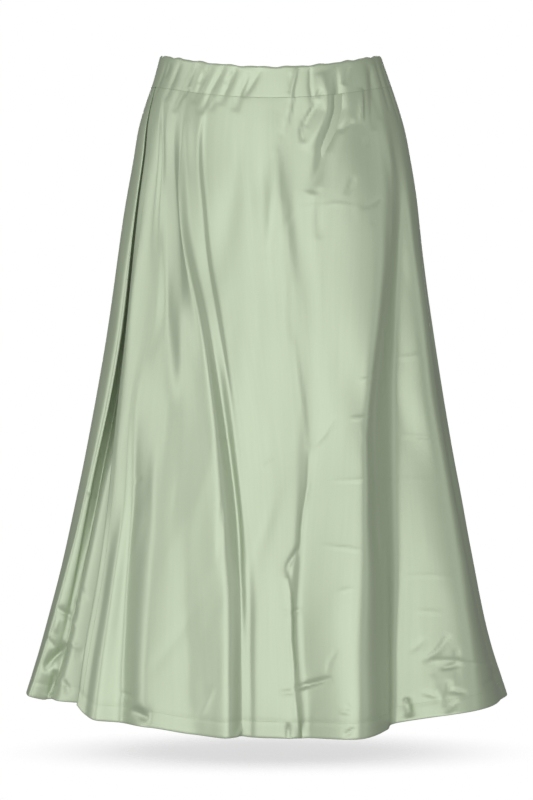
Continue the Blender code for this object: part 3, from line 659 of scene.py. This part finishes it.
def make_cloth(name, face, wall):
    """A closed wall of cloth behind a grid of face points, with rounded side edges and hem and a flat top edge.

    The inner face has half the rows and columns. Also the face's normals.
    """
    rows, columns = face.shape[:2]
    normal = grid_normals(face)
    middle = face - normal * wall[..., None] / 2
    down = unit(np.gradient(face, axis=0))
    side = unit(np.gradient(face, axis=1))
    row_plan = [(r, 0.0) for r in range(rows)] + [(rows - 1, bend) for bend in EDGE_BENDS]
    column_plan = ([(0, -bend) for bend in EDGE_BENDS[::-1]] + [(c, 0.0) for c in range(columns)]
                   + [(columns - 1, bend) for bend in EDGE_BENDS])
    row_of, row_bend = np.array(row_plan).T
    column_of, column_bend = np.array(column_plan).T
    R, C = np.meshgrid(row_of.astype(int), column_of.astype(int), indexing="ij")
    BR, BC = np.meshgrid(np.radians(row_bend), np.radians(column_bend), indexing="ij")
    n, d, s, m, w = normal[R, C], down[R, C], side[R, C], middle[R, C], wall[R, C][..., None]
    way = n * (np.cos(BR) * np.cos(BC))[..., None] + d * np.sin(BR)[..., None] + s * np.sin(BC)[..., None]
    outer = m + unit(way) * w / 2
    inner_rows = np.unique(np.append(np.arange(0, rows, 2), rows - 1))
    inner_columns = np.unique(np.append(np.arange(0, columns, 2), columns - 1))
    inner = (face - normal * wall[..., None])[np.ix_(inner_rows, inner_columns)]
    outer_count = outer.shape[0] * outer.shape[1]
    number = np.arange(outer_count).reshape(outer.shape[:2])
    back = outer_count + np.arange(inner.shape[0] * inner.shape[1]).reshape(inner.shape[:2])
    points = np.concatenate([outer.reshape(-1, 3), inner.reshape(-1, 3)])
    quads = lambda grid: np.stack([grid[:-1, :-1], grid[1:, :-1], grid[1:, 1:], grid[:-1, 1:]], -1).reshape(-1, 4)
    faces = list(map(tuple, quads(number))) + list(map(tuple, quads(back)[:, ::-1]))
    for out_line, in_line in ((number[0, ::-1], back[0, ::-1]), (number[-1], back[-1]),
                              (number[:, 0], back[:, 0]), (number[::-1, -1], back[::-1, -1])):
        faces += zip_borders(points, out_line, in_line)
    step_across = np.linalg.norm(np.diff(face, axis=1), axis=-1).mean(0)
    step_down = np.linalg.norm(np.diff(face, axis=0), axis=-1).mean(1)
    along = np.concatenate([[0], np.cumsum(step_across)])
    fall = np.concatenate([[0], np.cumsum(step_down)])
    places = np.concatenate([np.stack([along[C], -fall[R]], -1).reshape(-1, 2),
                             np.stack(np.meshgrid(along[inner_columns], -fall[inner_rows]), -1).reshape(-1, 2)])
    return finish_mesh(name, points, faces, places), normal


def drape(folds, columns, creases, seed, slack_amount):
    """The face of a panel: its folds, gathers, creases and slack. Also each row's distance above the hem."""
    across = even_columns(folds, columns)
    down = np.insert(np.linspace(0, 1, PANEL_ROWS + 1), 1, 0.0003)
    angles = rounded_wave(smooth_line(FOLD_STATIONS, [fold.angles for fold in folds], down).T, across)
    heights = rounded_wave(smooth_line(FOLD_STATIONS, [fold.heights for fold in folds], down).T, across)
    hem = rounded_wave([fold.hem for fold in folds], across)
    top = waist_dip(angles) + CASING_HEIGHT + SEAM_GAP
    below = top + (hem - top) * down[:, None]
    heights = heights + gather_height(angles, below)
    heights -= CASING_DRAW * np.exp(-((below - top) / DRAW_SPREAD) ** 2)
    face = place_on_form(angles, below, heights)
    near_casing = np.exp(-((below - top) / CASING_BLEND) ** 2)[..., None]
    normal = unit(grid_normals(face) * (1 - near_casing) + level_outward(angles, below) * near_casing)
    from_side_seam = np.clip(np.abs(np.abs((angles + 180) % 360 - 180) - SIDE_SEAM) / SEAM_FADE, 0, 1)
    extra = crease_height(face, creases) + slack(face, seed, slack_amount)
    extra = extra * from_side_seam**2 * (3 - 2 * from_side_seam)
    face = face + normal * (extra * MM)[..., None]
    above_hem = np.linalg.norm(np.diff(face, axis=0), axis=-1)[::-1].cumsum(0)[::-1]
    above_hem = np.vstack([above_hem, np.zeros((1, face.shape[1]))])
    draw = HEM_DRAW * np.exp(-((above_hem - HEM_TURN) / HEM_DRAW_SPREAD) ** 2)
    face = face - normal * (draw * MM)[..., None]
    return face, above_hem


def turned_wall(above_hem):
    """Wall thickness of a panel, which is greater where the hem is turned up inside."""
    return CLOTH * (1 + HEM_DOUBLING / (1 + np.exp(np.minimum((above_hem - HEM_TURN - 0.002) / HEM_STEP, 50))))


wrap_face, wrap_above = drape(WRAP_FOLDS, 250, WRAP_CREASES, 3, 0.85)
EDGE_TURN = 0.009            # the free edge is turned in and stitched this far from the fold
beside_edge = np.cumsum(np.linalg.norm(np.diff(wrap_face, axis=1, prepend=wrap_face[:, :1]), axis=-1), axis=1)
wrap_wall = np.maximum(turned_wall(wrap_above), turned_wall(beside_edge + HEM_TURN - EDGE_TURN))
wrap, wrap_normal = make_cloth("wrap_satin", wrap_face, wrap_wall)
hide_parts("front_wrap_panel")
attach(wrap, "root")


def row_above_hem(face, normal, above, distance):
    """The path on a panel's face that runs at a distance above its hem."""
    path = []
    for column in range(face.shape[1]):
        line = face[::-1, column] + normal[::-1, column] * STITCH_LIFT
        path.append([np.interp(distance, above[::-1, column], axis) for axis in line.T])
    return np.array(path)


def row_beside_edge(face, normal, distance, side):
    """The path that runs down a panel at a distance from its first (side 0) or last (side -1) column."""
    order = slice(None) if side == 0 else slice(None, None, -1)
    path = []
    for row in range(face.shape[0]):
        line, out = face[row, order], normal[row, order]
        reach = np.concatenate([[0], np.cumsum(np.linalg.norm(np.diff(line, axis=0), axis=1))])
        path.append([np.interp(distance, reach, axis) for axis in (line + out * STITCH_LIFT).T])
    return np.array(path)


sew("wrap_stitches", [row_above_hem(wrap_face, wrap_normal, wrap_above, HEM_TURN),
                      row_beside_edge(wrap_face, wrap_normal, EDGE_TURN, 0)[4:-6]], 12)

# ==== front under panel ==================================================================================
# The inner front panel, cut in satin as the wrap's mirror image and sewn into the left side seam. It shows left
# of the wrap's edge, where it makes one rolled fold beside a deep slit, and runs on inside to a hidden free edge.
# Known fault: below the casing the wrap's "great gather" sinks up to 2 mm through this panel.
UNDER_FOLDS = [Fold(*row) for row in (
    ("left seam", (-SIDE_SEAM,) * 9, (0,) * 9, 0.7590),
    ("flap crest", (-77.5, -72.7, -71.2, -69.5, -69.7, -70, -71, -71.3, -71.8),
     (-0.8, -0.8, -0.2, 1.5, 3.8, 6, 9, 11.3, 12.9), 0.7605),
    ("flap lip", (-75.5, -70.3, -68.1, -65.7, -65.9, -68, -69, -69.3, -69.8),
     (-1.2, -1.9, -2, -2, -1.4, 0.5, -1.2, -2.2, -4), 0.7645),
    ("pit left wall", (-75.8, -72.8, -72.6, -71.7, -71.9, -70.5, -69.5, -69, -69.5),
     (-3.7, -5.9, -7.5, -9, -9.4, -5.5, -5.2, -6.2, -8), 0.7640),
    ("pit floor", (-75, -73.3, -74.1, -74.2, -74.4, -71, -68.2, -67.1, -67.6),
     (-4, -8, -12, -16, -19, -14, -11, -12, -12), 0.7635),
    ("pit right wall", (-67.6, -63.5, -63.2, -62.5, -60.6, -64.8, -64.8, -63.6, -63.9),
     (-3.2, -6, -9, -13, -14, -8, -6.5, -6, -6), 0.7630),
    ("strip crest", (-61.8, -59.2, -58.4, -57.2, -55.1, -60.8, -61.3, -60.2, -60.5),
     (-2.6, -3.8, -4.6, -5.5, -4.9, -4, -3.4, -3, -3), 0.7635),
    ("inner trough", (-58.8, -56.2, -55.4, -53.8, -50, -46.2, -43.1, -41.2, -40),
     (-2.3, -3.6, -5.8, -9.4, -14, -17.8, -20.9, -22.8, -24), 0.7660),
    ("inner crest", (-50, -46.7, -43.7, -40.8, -37, -33.2, -30.1, -28.2, -27),
     (-2.3, -4.3, -7.1, -9.6, -11, -12.7, -14.7, -16.7, -18), 0.7720),
    ("front trough", (-35, -33.4, -31, -28, -25, -21.3, -18.1, -16.2, -15),
     (-2.3, -4.3, -7.3, -11.5, -16, -19.1, -22, -24.4, -26), 0.7780),
    ("front crest", (-12, -12, -11.2, -9.5, -8, -6.2, -4.5, -3.6, -3),
     (-2.3, -4.3, -7, -11.2, -15.2, -18.1, -20.5, -22.2, -23.4), 0.7790),
    ("middle trough", (12, 12, 12, 12, 12, 12, 12, 12, 12),
     (-2.3, -4.7, -8.1, -13.3, -18.4, -22.8, -26.7, -29.6, -31.8), 0.7790),
    ("right trough", (40, 40, 39.6, 38.6, 37, 34.6, 32.3, 30.9, 30),
     (-2.3, -5.8, -10.6, -18, -25, -32.4, -38.3, -41.6, -44), 0.7770),
    ("inner free edge", (74.1, 70.4, 66.4, 62.6, 58.7, 54.5, 51.4, 50, 49.2),
     (-2.3, -5.4, -9.8, -16, -21.2, -26.4, -30.9, -34.1, -36.4), 0.7720),
)]
FLAP_CREASES = [Crease(*row) for row in (
    ("nick", ((-220, 515), (-206, 527)), 1.9, 0.6, 0),
    ("dent", ((-254, 656), (-233, 669)), 4, -1.3, 0),
    ("dent", ((-266, 690), (-254, 704)), 2.2, -1, 0),
    ("crease", ((-251, 667), (-254, 686)), 2.2, 0.8, 0),
    ("deep dent", ((-239, 700), (-257, 718), (-268, 731)), 5, -3, 0),
    ("deep dent", ((-252, 731), (-259, 761)), 5, -2.4, 0),
    ("bright roll", ((-246, 735), (-252, 749), (-255, 766)), 2.6, 1.8, 0),
    ("crease", ((-237, 692), (-223, 705)), 2.4, 0.8, 0),
    ("crease", ((-221, 700), (-226, 717)), 2.2, -0.8, 0),
    ("strip pucker", ((-221, 632), (-215, 648)), 2, -0.7, 0),
    ("strip pucker", ((-231, 646), (-224, 654)), 2, 0.8, 0),
    ("strip pucker", ((-233, 667), (-227, 679)), 2, 0.8, 0),
    ("strip dent", ((-243, 739), (-236, 757)), 3, -1.4, 0),
)]
under_face, under_above = drape(UNDER_FOLDS, 230, FLAP_CREASES, 5, 0.6)
under, under_normal = make_cloth("under_satin", under_face, turned_wall(under_above))
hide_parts("front_under_panel")
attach(under, "root")

sew("under_stitches", [row_above_hem(under_face, under_normal, under_above, HEM_TURN),
                       row_beside_edge(under_face, under_normal, EDGE_TURN, -1)[4:-6]], 13)

# ==== back panel =========================================================================================
# The back, one piece of satin sewn to both front panels at the side seams, with a turned and stitched hem. The
# photograph doesn't show it, so its folds and creases are a guess of the same kind as the front's.
BACK_FOLDS = [Fold(*row) for row in (
    ("right seam", (SIDE_SEAM,) * 9, (0,) * 9, 0.7650),
    ("side trough", (104, 103.2, 102.8, 103, 103, 102.9, 103.1, 103.6, 104),
     (0, 0, -0.4, -1.2, -2, -3.2, -4.4, -5.4, -6), 0.7650),
    ("side crest", (115, 115.8, 116.6, 117.3, 118, 117.9, 118.3, 119.3, 120),
     (0, 0.8, 1.5, 2.4, 4, 5.8, 7.6, 9, 10), 0.7670),
    ("deep trough", (128, 129.6, 131.2, 132.5, 134, 135.3, 136.3, 136.7, 137),
     (0, -0.8, -1.9, -3.9, -7, -10.1, -12.7, -14.1, -15), 0.7710),
    ("second crest", (144, 145.6, 147.2, 148.3, 149, 150.2, 151.4, 152.4, 153),
     (0, 0.8, 1.5, 2.4, 4, 5.2, 6.4, 7.4, 8), 0.7730),
    ("soft trough", (160, 160, 160.4, 161.2, 162, 163.8, 165.5, 166.4, 167),
     (0, -0.8, -1.5, -2.4, -4, -5.8, -7.5, -8.4, -9), 0.7760),
    ("middle crest", (176, 176, 176.4, 177.4, 179, 180.2, 181.4, 182.4, 183),
     (0, 0.4, 0.7, 1.4, 3, 4.8, 6.5, 7.4, 8), 0.7780),
    ("thin trough", (192, 192, 192.4, 193.2, 194, 195.2, 196.3, 196.7, 197),
     (0, -0.8, -2.3, -5.1, -9, -12.2, -14.7, -16.1, -17), 0.7760),
    ("third crest", (208, 207.2, 206.8, 207.2, 208, 209.2, 210.4, 211.4, 212),
     (0, 0.8, 1.5, 2.4, 4, 5.2, 6.5, 8, 9), 0.7730),
    ("last trough", (226, 226, 226.4, 227.3, 228, 228.6, 229.2, 229.7, 230),
     (0, -0.8, -1.5, -2.6, -5, -7.5, -9.5, -10.4, -11), 0.7670),
    ("last crest", (242, 242.8, 243.6, 244.3, 245, 245.6, 246.2, 246.7, 247),
     (0, 0.4, 0.7, 1.4, 3, 4.8, 6.5, 7.4, 8), 0.7610),
    ("left seam", (360 - SIDE_SEAM,) * 9, (0,) * 9, 0.7590),
)]
BACK_CREASES = BACK_GATHERS + [Crease(*row) for row in (
    ("long line", ((-31, 150), (-36, 230), (-33, 318), (-42, 402)), 2.8, 0.4, -1.2),
    ("long line", ((58, 260), (63, 330), (74, 421), (77, 498)), 2.8, -0.7, 0),
    ("pressed line", ((-120, 322), (-86, 326), (-58, 322)), 1.8, 0.3, 1.2),
    ("pressed line", ((22, 404), (60, 400), (96, 404)), 1.8, 0.3, -1.2),
    ("pressed line", ((-70, 547), (-20, 552), (18, 549)), 1.8, 0.25, 1.2),
    ("pressed line", ((92, 610), (138, 612), (170, 608)), 1.8, 0.25, 1.2),
    ("nick", ((-112, 470), (-104, 486)), 2, -0.6, 0),
    ("nick", ((12, 300), (24, 312)), 2, -0.5, 0),
    ("nick", ((128, 520), (120, 538)), 2.2, -0.7, 0),
    ("branch", ((-38, 640), (-22, 633)), 2, -0.7, 0.3),
    ("centre crease", ((-48, 600), (-40, 660), (-43, 722), (-38, 776)), 3, -1.0, 0.6),
    ("wrinkle", ((-196, 690), (-176, 702), (-160, 699)), 2.6, -1.0, 0.4),
    ("wrinkle", ((-205, 722), (-188, 731), (-172, 744)), 2.2, 0.8, 0),
    ("wrinkle", ((108, 704), (126, 716), (149, 713)), 2.4, -0.9, 0),
    ("wrinkle", ((196, 696), (214, 712), (209, 733)), 2.6, -1.0, 0),
    ("hem pucker", ((-92, 756), (-84, 775)), 2.6, -1.1, 0),
    ("hem pucker", ((66, 752), (61, 774)), 2.8, -1.2, 0),
    ("hem pucker", ((158, 748), (166, 766)), 2.6, -1.1, 0),
    ("hem dent", ((-148, 742), (-140, 764)), 4.5, -2.0, 0),
)]
back_face, back_above = drape(BACK_FOLDS, 250, BACK_CREASES, 9, 0.85)
back, back_normal = make_cloth("back_satin", back_face, turned_wall(back_above))
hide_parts("back_panel")
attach(back, "root")

sew("back_stitches", [row_above_hem(back_face, back_normal, back_above, HEM_TURN)], 14)

# ==== floor, lights and camera ===========================================================================
# White paper under the skirt, clear but for an oval of painted shadow, in a white room: the paper is solid only
# in that oval and grades out to clear, so the shadow's place and soft edge are painted, while its grey is the lit
# and shaded paper. A wide softbox lights the front, a narrow one the back, and a small one each side. The camera
# looks level at the front.
FLOOR_LEVEL = -0.833
FLOOR_RADIUS = 1.6
FLOOR_SIDES = 96
SHADOW_HALF_WIDTH = 0.30
SHADOW_HALF_DEPTH = 0.24
SHADOW_STRENGTH = 0.34       # how solid the paper is at the middle of the painted shadow oval
LIGHT_AIM = (0, 0, -0.40)    # the middle of the skirt

floor_mesh = bpy.data.meshes.new("floor")
round_floor = [(FLOOR_RADIUS * np.cos(a), FLOOR_RADIUS * np.sin(a), FLOOR_LEVEL)
               for a in np.linspace(0, 2 * np.pi, FLOOR_SIDES, endpoint=False)]
floor_mesh.from_pydata(round_floor, [], [tuple(range(FLOOR_SIDES))])
floor = bpy.data.objects.new("floor", floor_mesh)
bpy.context.scene.collection.objects.link(floor)
paper = bpy.data.materials.new("white_paper")
paper.use_nodes = True
paper_wire = Wire(paper.node_tree)
place = paper_wire.node("ShaderNodeTexCoord", output=3)
spread = paper_wire.node("ShaderNodeMapping", Vector=place,
                          Scale=(1 / SHADOW_HALF_WIDTH, 1 / SHADOW_HALF_DEPTH, 0.0))
ring = paper_wire.node("ShaderNodeVectorMath", {"operation": "LENGTH"}, output=1, Vector=spread)
# painted shadow: an oval mask, solid paper in its middle grading to clear paper at its rim
painted_shadow_oval = paper_wire.node("ShaderNodeMapRange", {"interpolation_type": "SMOOTHSTEP"}, Value=ring, From_Min=0.35,
                        From_Max=1.15, To_Min=SHADOW_STRENGTH, To_Max=0.0)
sheet = paper.node_tree.nodes["Principled BSDF"]
sheet.inputs["Base Color"].default_value = (0.9, 0.9, 0.9, 1)
sheet.inputs["Roughness"].default_value = 0.9
clear = paper_wire.node("ShaderNodeBsdfTransparent")
surface = paper_wire.node("ShaderNodeMixShader", i0=painted_shadow_oval, i1=clear, i2=Wire(paper.node_tree, sheet.outputs[0]))
paper.node_tree.links.new(surface.socket, paper.node_tree.nodes["Material Output"].inputs["Surface"])
floor_mesh.materials.append(paper)

world = bpy.data.worlds.new("studio")
bpy.context.scene.world = world
world.use_nodes = True
sky = Wire(world.node_tree)
seen = sky.node("ShaderNodeLightPath", output="Is Camera Ray")
strength = 0.14 + 0.86 * seen
background = world.node_tree.nodes["Background"]
background.inputs["Color"].default_value = (1, 1, 1, 1)
world.node_tree.links.new(strength.socket, background.inputs["Strength"])


def softbox(name, place, aim, size, power):
    light = bpy.data.lights.new(name, "AREA")
    light.shape, light.size, light.size_y, light.energy = "RECTANGLE", size[0], size[1], power
    lamp = bpy.data.objects.new(name, light)
    lamp.location = place
    lamp.rotation_euler = (Vector(aim) - Vector(place)).to_track_quat("-Z", "Y").to_euler()
    bpy.context.scene.collection.objects.link(lamp)


softbox("front_softbox", (-0.15, -4.8, 0.5), LIGHT_AIM, (8, 3), 212)
softbox("rear_softbox", (0, 4.8, 0.5), LIGHT_AIM, (2, 3), 100)
softbox("left_softbox", (-3.6, -1, 0.3), LIGHT_AIM, (1.6, 2.4), 37)
softbox("right_softbox", (3.6, -1, 0.3), LIGHT_AIM, (1.6, 2.4), 13)

camera = bpy.data.cameras.new("camera")
camera.sensor_fit, camera.sensor_height, camera.lens = "VERTICAL", 24.0, 100.0
eye = bpy.data.objects.new("camera", camera)
eye.location, eye.rotation_euler = (-0.0048, -4.0, -0.4116), (np.pi / 2, 0, 0)
bpy.context.scene.collection.objects.link(eye)
bpy.context.scene.camera = eye
bpy.context.scene.view_settings.view_transform = "Standard"
